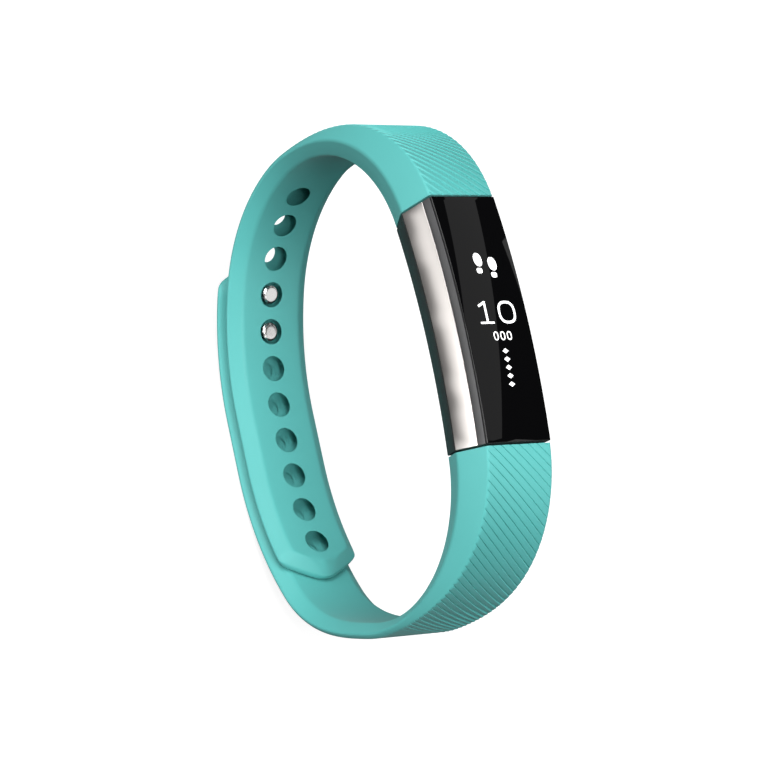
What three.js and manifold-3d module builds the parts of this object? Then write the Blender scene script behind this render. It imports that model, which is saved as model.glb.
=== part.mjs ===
// A slim fitness tracker on a two-piece elastomer wristband, with the clasp closed.
//
// Frame: millimetres, +Z up out of the display, +Y towards the strap with the holes, X across the
// width of the band. The origin is on the table, under the middle of the band, which stands on the
// outside of its clasp.
//
// Every place on the band is a station and an offset. A station is a length in millimetres along the
// wrist side of the closed band, counted from the middle of the tracker over the +Y side, under the
// clasp and back up the -Y side. An offset is a distance outwards from that wrist side.

import * as THREE from "three";
import { mergeVertices } from "three/addons/utils/BufferGeometryUtils.js";
import Module from "manifold-3d";

const wasm = await Module();
wasm.setup();

// Driving dimensions.

// Wrist side of the closed band: a crown under the tracker, then three bends down to a flat.
const TRACKER_LENGTH = 35;
const CROWN_MARGIN = 0.5;
const CROWN_RADIUS = 131;
const SHOULDER_RADIUS = 21;
const SHOULDER_SWEEP = 94.4;
const SIDE_RADIUS = 24.4;
const SIDE_SWEEP = 49.7;
const CLASP_RADIUS = 40.2;

// Cross-section, shared by the tracker and the straps: wrist face, widest ridge, outer face.
const WRIST_FACE_WIDTH = 10.6;
const RIDGE_WIDTH = 15;
const TRACKER_THICKNESS = 10.3;
const TRACKER_RIDGE_HEIGHT = 4.87;
const TRACKER_FACE_WIDTH = 11.5;
const STRAP_THICKNESS = 2.4;
const STRAP_RIDGE_HEIGHT = 1.6;
const STRAP_FACE_WIDTH = 13.6;
const SWELL_MARGIN = 1.5;
const SWELL_LENGTH = 33;

// Straps.
const SEAM_GAP = 0.3;
const STRAP_GAP = 0.35;
const STACK_RUN = 20;
const STACK_MARGIN = 1;
const HOLE_COUNT = 11;
const HOLE_PITCH = 5.9;
const LAST_HOLE_FROM_TIP = 5.65;
const COUNTERBORE_DIAMETER = 4;
const COUNTERBORE_DEPTH = 1.2;
const HOLE_DIAMETER = 2.3;
const TIP_WIDTH = 2.2;
const TIP_SLOPE = 1.75;
const TIP_BEVEL = 1.9;
const TIP_EDGE = 0.05;
const PERFORATED_LENGTH = 103.7;
const FLEX_FROM_TIP = 5.5;
const FLEX_GAP = 0.3;

// Clasp: a steel bar with two headed pegs in neighbouring holes.
const FIRST_PEG_HOLE = 3;
const PEG_TO_TIP = 4.3;
const PEG_HEAD_DIAMETER = 3;
const PEG_FLAT_DIAMETER = 1.9;
const PEG_HEAD_RECESS = 0.2;
const PEG_RIM_DEPTH = 0.4;
const PEG_HEAD_HEIGHT = 0.8;
const PEG_STEM_DIAMETER = 1.7;
const PEG_CLEARANCE = 0.12;
const BAR_WIDTH = 5;
const BAR_CORNER = 2;
const BAR_END_MARGIN = 2;
const BAR_THICKNESS = 0.8;
const BAR_CLEARANCE = 0.15;

// Tracker housing, from the wrist side out.
const PART_LINE = 0.1;
const BASE_TOP = 4.8;
const CASE_TOP = 8.6;
const FRAME_TOP = 9.9;
const BASE_FLOOR = 1;
const CAVITY_WIDTH = 9.6;
const END_WALL = 4.3;
const WINDOW_WIDTH = 8.8;
const SEAL_WIDTH = 0.7;
const SEAL_HEIGHT = 0.45;
const SEAL_FROM_CAVITY = 0.4;
const CONTACT_COUNT = 3;
const CONTACT_PITCH = 4;
const CONTACT_DIAMETER = 1.8;
const FIT_CLEARANCE = 0.1;

// Parts inside the tracker.
const BATTERY_SIZE = [8.2, 15, 3.8];
const BATTERY_STATION = -4.5;
const BOARD_SIZE = [8.8, 24, 0.8];
const PROCESSOR_SIZE = [4, 4, 0.9];
const MOTION_SENSOR_SIZE = [2.5, 2.5, 0.7];
const MOTOR_DIAMETER = 7.4;
const MOTOR_HEIGHT = 2.7;
const SHELF_GAP = 0.3;

// Quick-release latches between the tracker and the straps.
const LATCH_WIDTH = 8.6;
const LATCH_LENGTH = 5.8;
const LATCH_HEIGHT = 7;
const LATCH_FROM_SEAM = 0.5;
const TONGUE_NECK_WIDTH = 3.6;
const TONGUE_HEAD_WIDTH = 6.2;
const TONGUE_HEAD_DEPTH = 1;
const TONGUE_REACH = 2.2;
const TONGUE_BOTTOM = 1;
const TONGUE_TOP = 6.4;
const TONGUE_CLEARANCE = 0.2;
const BUTTON_WIDTH = 5.2;
const BUTTON_LENGTH = 3.2;
const BUTTON_HEIGHT = 1.5;
const BUTTON_CORNER = 0.8;
const BUTTON_CLEARANCE = 0.15;
const SPRING_DIAMETER = 1.6;
const SPRING_WIRE = 0.3;
const SPRING_HEIGHT = 1.8;
const SPRING_TURNS = 3;

// How finely curves are drawn, and how far a cutter stands clear of what it cuts.
const ROUND_SIDES = 16;
const CORNER_SEGMENTS = 3;
const WIRE_SEGMENTS = 5;
const SPRING_STEPS_PER_TURN = 12;
const STATION_STEP = 2.4;
const LEAST_STEP = 0.4;
const MERGE_DISTANCE = 1e-4;
const CUT_CLEAR = 1;

// Finishes.
const TEAL = { color: 0x5fbfbb, roughness: 0.62, metalness: 0 };
const STEEL = { color: 0xd3cfcb, roughness: 0.28, metalness: 1 };
const BLACK_PLASTIC = { color: 0x2b2b2b, roughness: 0.45, metalness: 0 };
const BLACK_GLASS = { color: 0x0b0b0c, roughness: 0.08, metalness: 0 };
const GOLD = { color: 0xc9a45a, roughness: 0.3, metalness: 1 };
const BOARD_GREEN = { color: 0x1d4a35, roughness: 0.6, metalness: 0 };
const FOIL = { color: 0xb6b8ba, roughness: 0.4, metalness: 1 };
const SEAL_RUBBER = { color: 0x1a1a1a, roughness: 0.9, metalness: 0 };

// The wrist side as a curve: each bend is tangent to the next, and the -Y half mirrors the +Y half.

const seam = TRACKER_LENGTH / 2;
const radians = (degrees) => (degrees * Math.PI) / 180;
const crownSweep = (seam + CROWN_MARGIN) / CROWN_RADIUS;
const bends = [
  { radius: CROWN_RADIUS, sweep: crownSweep },
  { radius: SHOULDER_RADIUS, sweep: radians(SHOULDER_SWEEP) },
  { radius: SIDE_RADIUS, sweep: radians(SIDE_SWEEP) },
  { radius: CLASP_RADIUS, sweep: Math.PI - crownSweep - radians(SHOULDER_SWEEP + SIDE_SWEEP) },
];

// Follows the bends for a length, from the crown at y = 0, z = 0; what is left runs along the flat.
function followBends(length) {
  let [y, z, turned, left] = [0, 0, 0, length];
  for (const { radius, sweep } of bends) {
    const angle = Math.min(left / radius, sweep);
    y += radius * (Math.sin(turned + angle) - Math.sin(turned));
    z += radius * (Math.cos(turned + angle) - Math.cos(turned));
    turned += angle;
    left -= radius * angle;
  }
  return { y: y - Math.max(left, 0), z, turned };
}

const bendLength = bends.reduce((sum, { radius, sweep }) => sum + radius * sweep, 0);
const flat = followBends(bendLength);
const halfLoop = bendLength + flat.y;
const wholeLoop = 2 * halfLoop;

const stackOffset = STRAP_THICKNESS + STRAP_GAP;
const crownHeight = stackOffset + STRAP_THICKNESS - flat.z;

// The point of the wrist side at a station, with the angle that the band has turned from level.
function wristPoint(station) {
  const wrapped = THREE.MathUtils.euclideanModulo(station, wholeLoop);
  const side = wrapped > halfLoop ? -1 : 1;
  const { y, z, turned } = followBends(side > 0 ? wrapped : wholeLoop - wrapped);
  return { y: side * y, z: crownHeight + z, turned: side * turned };
}

// A local frame at a station: Y along the band, Z outwards.
function stationMatrix(station, offset = 0) {
  const { y, z, turned } = wristPoint(station);
  return new THREE.Matrix4()
    .makeRotationX(-turned)
    .setPosition(0, y + Math.sin(turned) * offset, z + Math.cos(turned) * offset);
}

// Solids and meshes.

function solid(geometry, matrix = new THREE.Matrix4()) {
  const bare = geometry.clone().applyMatrix4(matrix);
  bare.deleteAttribute("normal");
  bare.deleteAttribute("uv");
  const merged = mergeVertices(bare, MERGE_DISTANCE);
  return new wasm.Manifold(
    new wasm.Mesh({
      numProp: 3,
      vertProperties: merged.attributes.position.array,
      triVerts: new Uint32Array(merged.index.array),
    }),
  );
}

function geometryOf(manifold) {
  const { vertProperties, triVerts } = manifold.getMesh();
  const geometry = new THREE.BufferGeometry();
  geometry.setAttribute("position", new THREE.BufferAttribute(vertProperties, 3));
  geometry.setIndex(new THREE.BufferAttribute(triVerts, 1));
  geometry.computeVertexNormals();
  return geometry;
}

function piece(name, shape, finish, matrix) {
  const geometry = shape.isBufferGeometry ? shape : geometryOf(shape);
  const mesh = new THREE.Mesh(geometry, new THREE.MeshStandardMaterial(finish));
  mesh.name = name;
  if (matrix) mesh.applyMatrix4(matrix);
  return mesh;
}

const without = (body, cutters) => cutters.reduce((rest, cutter) => rest.subtract(cutter), body);

// A box standing on z = 0, centred in x and y.
function block([width, length, height]) {
  return new THREE.BoxGeometry(width, length, height).translate(0, 0, height / 2);
}

// A round bar along z.
function round(diameter, from, to, sides = ROUND_SIDES) {
  const bar = new THREE.CylinderGeometry(diameter / 2, diameter / 2, to - from, sides);
  return bar.rotateX(Math.PI / 2).translate(0, 0, (from + to) / 2);
}

// A flat plate with rounded corners, standing on z = 0.
function roundedPlate(width, length, height, corner) {
  const [x, y] = [width / 2, length / 2];
  const shape = new THREE.Shape()
    .moveTo(-x + corner, -y)
    .lineTo(x - corner, -y)
    .absarc(x - corner, -y + corner, corner, -Math.PI / 2, 0)
    .lineTo(x, y - corner)
    .absarc(x - corner, y - corner, corner, 0, Math.PI / 2)
    .lineTo(-x + corner, y)
    .absarc(-x + corner, y - corner, corner, Math.PI / 2, Math.PI)
    .lineTo(-x, -y + corner)
    .absarc(-x + corner, -y + corner, corner, Math.PI, 1.5 * Math.PI);
  const options = { depth: height, bevelEnabled: false, curveSegments: CORNER_SEGMENTS };
  return new THREE.ExtrudeGeometry(shape, options);
}

// Evenly spaced stations from start to end, with the extra ones that a shape needs.
function stations(start, end, extra = []) {
  const count = Math.ceil((end - start) / STATION_STEP);
  const even = Array.from({ length: count + 1 }, (_, i) => start + ((end - start) * i) / count);
  const clear = even.filter((at) => extra.every((wanted) => Math.abs(at - wanted) > LEAST_STEP));
  return [...new Set([start, end, ...clear, ...extra])].sort((a, b) => a - b);
}

// A moulding along the band. Its outline is drawn in levels, and profile(station, level) gives the
// half width and the offset there. It is extruded straight and each vertex is then put in its place.
function moulding(levels, along, profile) {
  const right = Array.from({ length: levels }, (_, level) => new THREE.Vector2(1, level));
  const left = right.map(({ y }) => new THREE.Vector2(-1, y)).reverse();
  const steps = along.length - 1;
  const geometry = new THREE.ExtrudeGeometry(new THREE.Shape([...right, ...left]), {
    steps,
    depth: steps,
    bevelEnabled: false,
  });
  const position = geometry.getAttribute("position");
  for (let i = 0; i < position.count; i += 1) {
    const station = along[Math.round(position.getZ(i))];
    const { half, offset } = profile(station, Math.round(position.getY(i)));
    const { y, z, turned } = wristPoint(station);
    const across = -position.getX(i) * half;
    position.setXYZ(i, across, y + Math.sin(turned) * offset, z + Math.cos(turned) * offset);
  }
  return solid(geometry);
}

// Tracker housing.

// Half the width of the tracker at an offset.
function trackerHalf(offset) {
  const { mapLinear } = THREE.MathUtils;
  return offset < TRACKER_RIDGE_HEIGHT
    ? mapLinear(offset, 0, TRACKER_RIDGE_HEIGHT, WRIST_FACE_WIDTH / 2, RIDGE_WIDTH / 2)
    : mapLinear(offset, TRACKER_RIDGE_HEIGHT, TRACKER_THICKNESS, RIDGE_WIDTH / 2, TRACKER_FACE_WIDTH / 2);
}

// A layer of the tracker between two offsets, as wide as the housing unless a half width is given.
function layer(from, to, reach, half) {
  return moulding(2, stations(-reach, reach), (station, level) => {
    const offset = level ? to : from;
    return { half: half ?? trackerHalf(offset), offset };
  });
}

const cavityReach = seam - END_WALL;
const cavityHalf = CAVITY_WIDTH / 2;
const cavity = layer(BASE_FLOOR, FRAME_TOP, cavityReach, cavityHalf);

// A latch's middle, measured from the seam.
const latchCentre = LATCH_FROM_SEAM + LATCH_LENGTH / 2;

// The T-shaped tongue of a strap's latch, drawn from above with +Y away from the tracker.
function tongue(clearance, bottom, top) {
  const neck = TONGUE_NECK_WIDTH / 2 + clearance;
  const head = TONGUE_HEAD_WIDTH / 2 + clearance;
  const tip = -TONGUE_REACH - clearance;
  const shoulder = -TONGUE_REACH + TONGUE_HEAD_DEPTH + clearance;
  const root = latchCentre;
  const corners = [
    [-head, tip],
    [head, tip],
    [head, shoulder],
    [neck, shoulder],
    [neck, root],
    [-neck, root],
    [-neck, shoulder],
    [-head, shoulder],
  ];
  const shape = new THREE.Shape(corners.map(([x, y]) => new THREE.Vector2(x, y)));
  const height = top - bottom;
  return new THREE.ExtrudeGeometry(shape, { depth: height, bevelEnabled: false }).translate(0, 0, bottom);
}

// Upright at the tracker's end, side 1 at +Y and -1 at -Y, because the tracker lifts out along Z.
function uprightMatrix(side) {
  const { y, z } = wristPoint(seam);
  const turn = side > 0 ? 0 : Math.PI;
  return new THREE.Matrix4().makeRotationZ(turn).setPosition(0, side * y, z);
}

const grooves = [1, -1].map((side) =>
  solid(tongue(TONGUE_CLEARANCE, -TRACKER_THICKNESS, TONGUE_TOP + TONGUE_CLEARANCE), uprightMatrix(side)),
);

// Rubber seal in a groove around the cavity.
const sealInner = { half: cavityHalf + SEAL_FROM_CAVITY, reach: cavityReach + SEAL_FROM_CAVITY };
function sealRing(clearance, bottom, top) {
  const [low, high] = [bottom - CUT_CLEAR, top + CUT_CLEAR];
  const inner = layer(low, high, sealInner.reach - clearance, sealInner.half - clearance);
  const grown = SEAL_WIDTH + clearance;
  return layer(bottom, top, sealInner.reach + grown, sealInner.half + grown).subtract(inner);
}
const sealBottom = BASE_TOP + PART_LINE / 2 - SEAL_HEIGHT;

const contactStations = Array.from(
  { length: CONTACT_COUNT },
  (_, i) => (i - (CONTACT_COUNT - 1) / 2) * CONTACT_PITCH,
);

function makeBaseCover() {
  const contactHoles = contactStations.map((station) =>
    solid(
      round(CONTACT_DIAMETER + 2 * FIT_CLEARANCE, -CUT_CLEAR, BASE_FLOOR + CUT_CLEAR),
      stationMatrix(station),
    ),
  );
  const sealGroove = sealRing(FIT_CLEARANCE, sealBottom - FIT_CLEARANCE, BASE_TOP + CUT_CLEAR);
  const cover = without(layer(0, BASE_TOP, seam), [cavity, sealGroove, ...grooves, ...contactHoles]);
  return piece("base_cover", cover, BLACK_PLASTIC);
}

function makeChargeContact(station, index) {
  const pin = round(CONTACT_DIAMETER, PART_LINE / 2, BASE_FLOOR + SHELF_GAP / 2);
  return piece(`charge_contact_${index + 1}`, pin, GOLD, stationMatrix(station));
}

function makeHousing() {
  const shell = without(layer(BASE_TOP + PART_LINE, CASE_TOP, seam), [cavity, ...grooves]);
  const frameBottom = CASE_TOP + PART_LINE;
  const window = layer(CASE_TOP, FRAME_TOP + CUT_CLEAR, cavityReach, WINDOW_WIDTH / 2);
  const seal = sealRing(0, sealBottom, BASE_TOP + PART_LINE / 2);
  return [
    piece("case_shell", shell, STEEL),
    piece("lens_frame", layer(frameBottom, FRAME_TOP, seam).subtract(window), BLACK_PLASTIC),
    piece("lens", layer(FRAME_TOP + PART_LINE, TRACKER_THICKNESS, seam), BLACK_GLASS),
    piece("seal_ring", seal, SEAL_RUBBER),
  ];
}

// Parts inside the tracker.

function makeElectronics() {
  const shelf = BASE_FLOOR + 2 * SHELF_GAP;
  const boardHeight = shelf + BATTERY_SIZE[2] + 2 * SHELF_GAP;
  const chipHeight = boardHeight + BOARD_SIZE[2] + PART_LINE;
  const onBoard = (y) => stationMatrix(0, chipHeight).multiply(new THREE.Matrix4().makeTranslation(0, y, 0));
  const motorStation = BATTERY_STATION + (BATTERY_SIZE[1] + MOTOR_DIAMETER) / 2 + SHELF_GAP;
  const motor = round(MOTOR_DIAMETER, 0, MOTOR_HEIGHT);
  const panelReach = cavityReach - SHELF_GAP;
  const panelHalf = WINDOW_WIDTH / 2 - SHELF_GAP;
  const panel = layer(CASE_TOP + PART_LINE, FRAME_TOP, panelReach, panelHalf);
  return [
    piece("display_panel", panel, BLACK_GLASS),
    piece("battery", block(BATTERY_SIZE), FOIL, stationMatrix(BATTERY_STATION, shelf)),
    piece("main_board", block(BOARD_SIZE), BOARD_GREEN, stationMatrix(0, boardHeight)),
    piece("processor", block(PROCESSOR_SIZE), BLACK_PLASTIC, onBoard(-PROCESSOR_SIZE[1])),
    piece("motion_sensor", block(MOTION_SENSOR_SIZE), BLACK_PLASTIC, onBoard(PROCESSOR_SIZE[1])),
    piece("vibration_motor", motor, STEEL, stationMatrix(motorStation, shelf)),
  ];
}

// Straps.

// 1 beside the tracker, falling to 0 where the strap has its plain thickness. The reach is the
// distance from the middle of the tracker to the nearer side.
function swell(reach) {
  const share = THREE.MathUtils.clamp((reach - seam + SWELL_MARGIN) / SWELL_LENGTH, 0, 1);
  return (1 + Math.cos(Math.PI * share)) / 2;
}

// Half width and offset of a strap's outline, and its blunt tip with slanted corners and a bevel.
function strapProfile(reach, fromTip, level) {
  const grown = swell(reach);
  const between = (plain, full) => plain + (full - plain) * grown;
  const ridge = between(STRAP_RIDGE_HEIGHT, TRACKER_RIDGE_HEIGHT);
  const cornered = (half, run) => Math.min(half, TIP_WIDTH / 2 + TIP_SLOPE * run);
  if (level === 1) return { half: cornered(RIDGE_WIDTH / 2, fromTip), offset: ridge };
  if (level === 2) {
    const half = between(STRAP_FACE_WIDTH, TRACKER_FACE_WIDTH) / 2;
    return { half: cornered(half, fromTip), offset: between(STRAP_THICKNESS, TRACKER_THICKNESS) };
  }
  const rise = (ridge - TIP_EDGE) * Math.max(0, 1 - fromTip / TIP_BEVEL);
  return { half: cornered(WRIST_FACE_WIDTH / 2, Math.max(0, fromTip - TIP_BEVEL)), offset: rise };
}

// Distances from a tip at which its outline has corners.
const tipCorners = [
  TIP_BEVEL,
  (RIDGE_WIDTH - TIP_WIDTH) / 2 / TIP_SLOPE,
  TIP_BEVEL + (WRIST_FACE_WIDTH - TIP_WIDTH) / 2 / TIP_SLOPE,
];

const strapStart = seam + SEAM_GAP;
const perforatedEnd = strapStart + PERFORATED_LENGTH;
const holeStations = Array.from(
  { length: HOLE_COUNT },
  (_, i) => perforatedEnd - LAST_HOLE_FROM_TIP - (HOLE_COUNT - 1 - i) * HOLE_PITCH,
);
const pegStations = [holeStations[FIRST_PEG_HOLE], holeStations[FIRST_PEG_HOLE + 1]];

// The pocket in a strap's root that holds its latch.
const latchMatrix = (side) => {
  const matrix = stationMatrix(side * (seam + latchCentre));
  return side > 0 ? matrix : matrix.multiply(new THREE.Matrix4().makeRotationZ(Math.PI));
};
function latchPocket(side) {
  const width = LATCH_WIDTH + 2 * FIT_CLEARANCE;
  const length = LATCH_LENGTH / 2 + FIT_CLEARANCE + 2 * latchCentre;
  const pocket = block([width, length, LATCH_HEIGHT + FIT_CLEARANCE + CUT_CLEAR]);
  pocket.translate(0, LATCH_LENGTH / 2 + FIT_CLEARANCE - length / 2, -CUT_CLEAR);
  return solid(pocket, latchMatrix(side));
}

function makePerforatedStrap() {
  const along = stations(strapStart, perforatedEnd, tipCorners.map((run) => perforatedEnd - run));
  const body = moulding(3, along, (station, level) =>
    strapProfile(station, perforatedEnd - station, level),
  );
  const holes = holeStations.flatMap((station) => [
    solid(round(COUNTERBORE_DIAMETER, -CUT_CLEAR, COUNTERBORE_DEPTH), stationMatrix(station)),
    solid(round(HOLE_DIAMETER, -CUT_CLEAR, STRAP_THICKNESS + CUT_CLEAR), stationMatrix(station)),
  ]);
  return piece("perforated_strap", without(body, [latchPocket(1), ...holes]), TEAL);
}

// The peg strap passes outside the perforated strap. It moves out to its place just before the
// perforated strap's tip, so its offset grows from 0 to the stack offset there.
const perforatedTipReach = wholeLoop - perforatedEnd;
function pegStrapProfile(station, fromTip, level) {
  const reach = wholeLoop - station;
  const { half, offset } = strapProfile(reach, fromTip, level);
  const stackStart = perforatedTipReach - STACK_RUN;
  const stackEnd = perforatedTipReach - STACK_MARGIN;
  const move = THREE.MathUtils.smoothstep(reach, stackStart, stackEnd);
  return { half, offset: offset + stackOffset * move };
}

const flexStation = perforatedEnd + FLEX_FROM_TIP;
const pegStrapEnd = pegStations[0] - PEG_TO_TIP;

function makePegStrap() {
  const along = stations(flexStation + FLEX_GAP / 2, wholeLoop - strapStart);
  const body = moulding(3, along, (station, level) => pegStrapProfile(station, Infinity, level));
  return piece("peg_strap", body.subtract(latchPocket(-1)), TEAL);
}

const barStation = (pegStations[0] + pegStations[1]) / 2;
const barFloor = stackOffset + STRAP_THICKNESS - BAR_THICKNESS - BAR_CLEARANCE;
const barLength = HOLE_PITCH + PEG_STEM_DIAMETER + 2 * BAR_END_MARGIN;

function barShape(clearance, height) {
  const [width, length] = [BAR_WIDTH, barLength].map((size) => size + 2 * clearance);
  return roundedPlate(width, length, height, BAR_CORNER + clearance);
}

// Holes for the peg stems, through the peg strap and its bar.
const stemHoles = pegStations.map((station) =>
  solid(
    round(PEG_STEM_DIAMETER + 2 * PEG_CLEARANCE, 0, stackOffset + STRAP_THICKNESS + CUT_CLEAR),
    stationMatrix(station),
  ),
);

function makePegStrapTail() {
  const corners = tipCorners.map((run) => pegStrapEnd + run);
  const along = stations(pegStrapEnd, flexStation - FLEX_GAP / 2, corners);
  const body = moulding(3, along, (station, level) =>
    pegStrapProfile(station, station - pegStrapEnd, level),
  );
  const barPocket = solid(
    barShape(BAR_CLEARANCE, STRAP_THICKNESS + CUT_CLEAR),
    stationMatrix(barStation, barFloor - BAR_CLEARANCE),
  );
  return piece("peg_strap_tail", without(body, [barPocket, ...stemHoles]), TEAL);
}

// Clasp.

function makeClaspBar() {
  const bar = solid(barShape(0, BAR_THICKNESS), stationMatrix(barStation, barFloor));
  return piece("clasp_bar", without(bar, stemHoles), STEEL);
}

// A turned peg: a flat head with a sloping rim, a stem through both straps and the bar.
function makeClaspPeg(station, index) {
  const headTop = PEG_HEAD_RECESS;
  const headBottom = headTop + PEG_HEAD_HEIGHT;
  const stem = PEG_STEM_DIAMETER / 2;
  const head = PEG_HEAD_DIAMETER / 2;
  const outline = [
    [0, headTop],
    [PEG_FLAT_DIAMETER / 2, headTop],
    [head, headTop + PEG_RIM_DEPTH],
    [head, headBottom],
    [stem, headBottom],
    [stem, barFloor + BAR_THICKNESS],
    [0, barFloor + BAR_THICKNESS],
  ];
  const points = outline.map(([radius, offset]) => new THREE.Vector2(radius, offset));
  const peg = new THREE.LatheGeometry(points, ROUND_SIDES).rotateX(Math.PI / 2);
  return piece(`clasp_peg_${index + 1}`, solid(peg), STEEL, stationMatrix(station));
}

// Latches.

const buttonTop = PART_LINE + BUTTON_HEIGHT;
const wellTop = buttonTop + SPRING_HEIGHT;

function makeLatchFrame(name, side) {
  const frame = solid(block([LATCH_WIDTH, LATCH_LENGTH, LATCH_HEIGHT]), latchMatrix(side));
  const well = roundedPlate(
    BUTTON_WIDTH + 2 * BUTTON_CLEARANCE,
    BUTTON_LENGTH + 2 * BUTTON_CLEARANCE,
    wellTop + CUT_CLEAR,
    BUTTON_CORNER,
  ).translate(0, 0, -CUT_CLEAR);
  const hook = solid(tongue(0, TONGUE_BOTTOM, TONGUE_TOP), uprightMatrix(side));
  return piece(name, frame.add(hook).subtract(solid(well, latchMatrix(side))), BLACK_PLASTIC);
}

function makeLatchButton(name, side) {
  const button = roundedPlate(BUTTON_WIDTH, BUTTON_LENGTH, BUTTON_HEIGHT, BUTTON_CORNER);
  return piece(name, button.translate(0, 0, PART_LINE), STEEL, latchMatrix(side));
}

class Helix extends THREE.Curve {
  getPoint(share) {
    const angle = 2 * Math.PI * SPRING_TURNS * share;
    const radius = (SPRING_DIAMETER - SPRING_WIRE) / 2;
    const climb = SPRING_HEIGHT - 2 * SPRING_WIRE;
    const height = buttonTop + SPRING_WIRE + climb * share;
    return new THREE.Vector3(radius * Math.cos(angle), radius * Math.sin(angle), height);
  }
}

function makeLatchSpring(name, side) {
  const wire = new THREE.Shape().absarc(0, 0, SPRING_WIRE / 2, 0, 2 * Math.PI);
  const coil = new THREE.ExtrudeGeometry(wire, {
    curveSegments: WIRE_SEGMENTS,
    steps: SPRING_STEPS_PER_TURN * SPRING_TURNS,
    extrudePath: new Helix(),
  });
  return piece(name, solid(coil), STEEL, latchMatrix(side));
}

// The band, put together.

const tracker = new THREE.Group();
tracker.add(
  makeBaseCover(),
  ...contactStations.map(makeChargeContact),
  ...makeHousing(),
  ...makeElectronics(),
);

const straps = new THREE.Group();
straps.add(makePerforatedStrap(), makePegStrap());

const clasp = new THREE.Group();
clasp.add(makePegStrapTail(), makeClaspBar(), ...pegStations.map(makeClaspPeg));

const latches = new THREE.Group();
for (const [end, side] of [["upper", 1], ["lower", -1]]) {
  latches.add(
    makeLatchFrame(`${end}_latch_frame`, side),
    makeLatchButton(`${end}_latch_button`, side),
    makeLatchSpring(`${end}_latch_spring`, side),
  );
}

const group = new THREE.Group();
group.add(tracker, straps, clasp, latches);

export default group;
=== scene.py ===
import math

import bmesh
import bpy
import numpy as np
from mathutils import Matrix, Vector


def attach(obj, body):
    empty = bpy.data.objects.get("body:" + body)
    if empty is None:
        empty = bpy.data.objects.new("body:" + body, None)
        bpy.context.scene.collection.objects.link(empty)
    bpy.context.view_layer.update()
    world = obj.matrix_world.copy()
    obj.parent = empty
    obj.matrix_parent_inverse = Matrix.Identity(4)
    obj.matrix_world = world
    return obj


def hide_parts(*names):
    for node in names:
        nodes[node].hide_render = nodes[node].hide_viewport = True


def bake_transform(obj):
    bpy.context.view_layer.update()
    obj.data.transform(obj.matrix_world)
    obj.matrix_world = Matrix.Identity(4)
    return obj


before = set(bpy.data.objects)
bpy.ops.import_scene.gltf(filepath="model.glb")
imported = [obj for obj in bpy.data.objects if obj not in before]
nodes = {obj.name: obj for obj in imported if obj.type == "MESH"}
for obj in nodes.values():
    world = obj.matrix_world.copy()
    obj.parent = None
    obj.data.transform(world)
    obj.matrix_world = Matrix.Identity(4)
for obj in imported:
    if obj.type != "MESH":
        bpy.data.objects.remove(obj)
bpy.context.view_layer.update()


# ---- Perforated strap --------------------------------------------------------------------------
# The strap beyond the upper end of the tracker. It is injection moulded from a soft elastomer, with
# a ridge along both sides, saw-tooth ribs near the tracker and eleven counterbored peg holes.

MM = 0.001

# The wrist side of the closed band: radius and sweep of each bend from the tracker to the clasp.
SEAM = 17.5
SEAM_GAP = 0.3
CROWN_LENGTH = 18.0
CROWN_RADIUS = 131.0
BENDS = [
    (CROWN_RADIUS, CROWN_LENGTH / CROWN_RADIUS),
    (21.0, math.radians(94.4)),
    (24.4, math.radians(49.7)),
]
BENDS.append((40.2, math.pi - sum(sweep for radius, sweep in BENDS)))

# The section of the plain strap, and of its root, which swells up to the tracker's height.
STRAP_THICKNESS = 2.4
STRAP_RIDGE = 1.6
STRAP_FACE = 13.6
WRIST_FACE = 10.6
RIDGE_WIDTH = 15.0
ROOT_THICKNESS = 10.3
ROOT_RIDGE = 4.87
ROOT_FACE = 11.5
SWELL_MARGIN = 1.5
SWELL_LENGTH = 33.0

# How far outside the perforated strap the peg strap lies.
STACK = 2.75

# The rounded point at the end of a strap, and the bevel round it on the wrist side.
TIP_SLOPE = 1.75
TIP_NOSE = 0.95
TIP_SOFTNESS = 0.6
TIP_CROWN = 0.45
TIP_RISE = 0.97
TIP_BEVEL = 1.9
TIP_ROUNDING = 0.45
LEAST_FROM_TIP = 0.005

PERFORATED_END = 121.5
LAST_HOLE_FROM_TIP = 5.65
HOLE_PITCH = 5.9
HOLE_COUNT = 11
FIRST_HOLE = PERFORATED_END - LAST_HOLE_FROM_TIP - (HOLE_COUNT - 1) * HOLE_PITCH

# The ribs lean across the strap by a slant that grows a little and then fades away.
RIB_PITCH = 1.0
RIB_DEPTH = 0.38
RIB_START = 12.0
RIB_END = 52.0
RIB_SLANT = 0.62
RIB_SLANT_GROWTH = 0.04
SLANT_GROWS = (18, 30)
SLANT_FADES = (50, 68)


def follow_bends(left):
    """Along, down and turned after a length of the wrist side, from the middle of the tracker."""
    y = z = turned = np.zeros_like(left)
    for radius, sweep in BENDS:
        angle = np.minimum(left / radius, sweep)
        y = y + radius * (np.sin(turned + angle) - np.sin(turned))
        z = z + radius * (np.cos(turned + angle) - np.cos(turned))
        left = left - radius * angle
        turned = turned + angle
    return y - np.maximum(left, 0), z, turned


bend_length = sum(radius * sweep for radius, sweep in BENDS)
flat_half, drop, _ = (float(value) for value in follow_bends(np.array(bend_length)))
HALF_LOOP = bend_length + flat_half
LOOP = 2 * HALF_LOOP
CROWN = STACK + STRAP_THICKNESS - drop


def on_loop(points):
    """Points given as across, station and offset, in mm, moved onto the closed band."""
    across, station, offset = np.asarray(points, float).T
    round_loop = np.mod(station, LOOP)
    side = np.where(round_loop > HALF_LOOP, -1.0, 1.0)
    y, z, turned = follow_bends(np.where(side > 0, round_loop, LOOP - round_loop))
    lift = offset * np.sin(turned), offset * np.cos(turned)
    return np.stack([across, side * (y + lift[0]), CROWN + z + lift[1]], axis=1)


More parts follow.
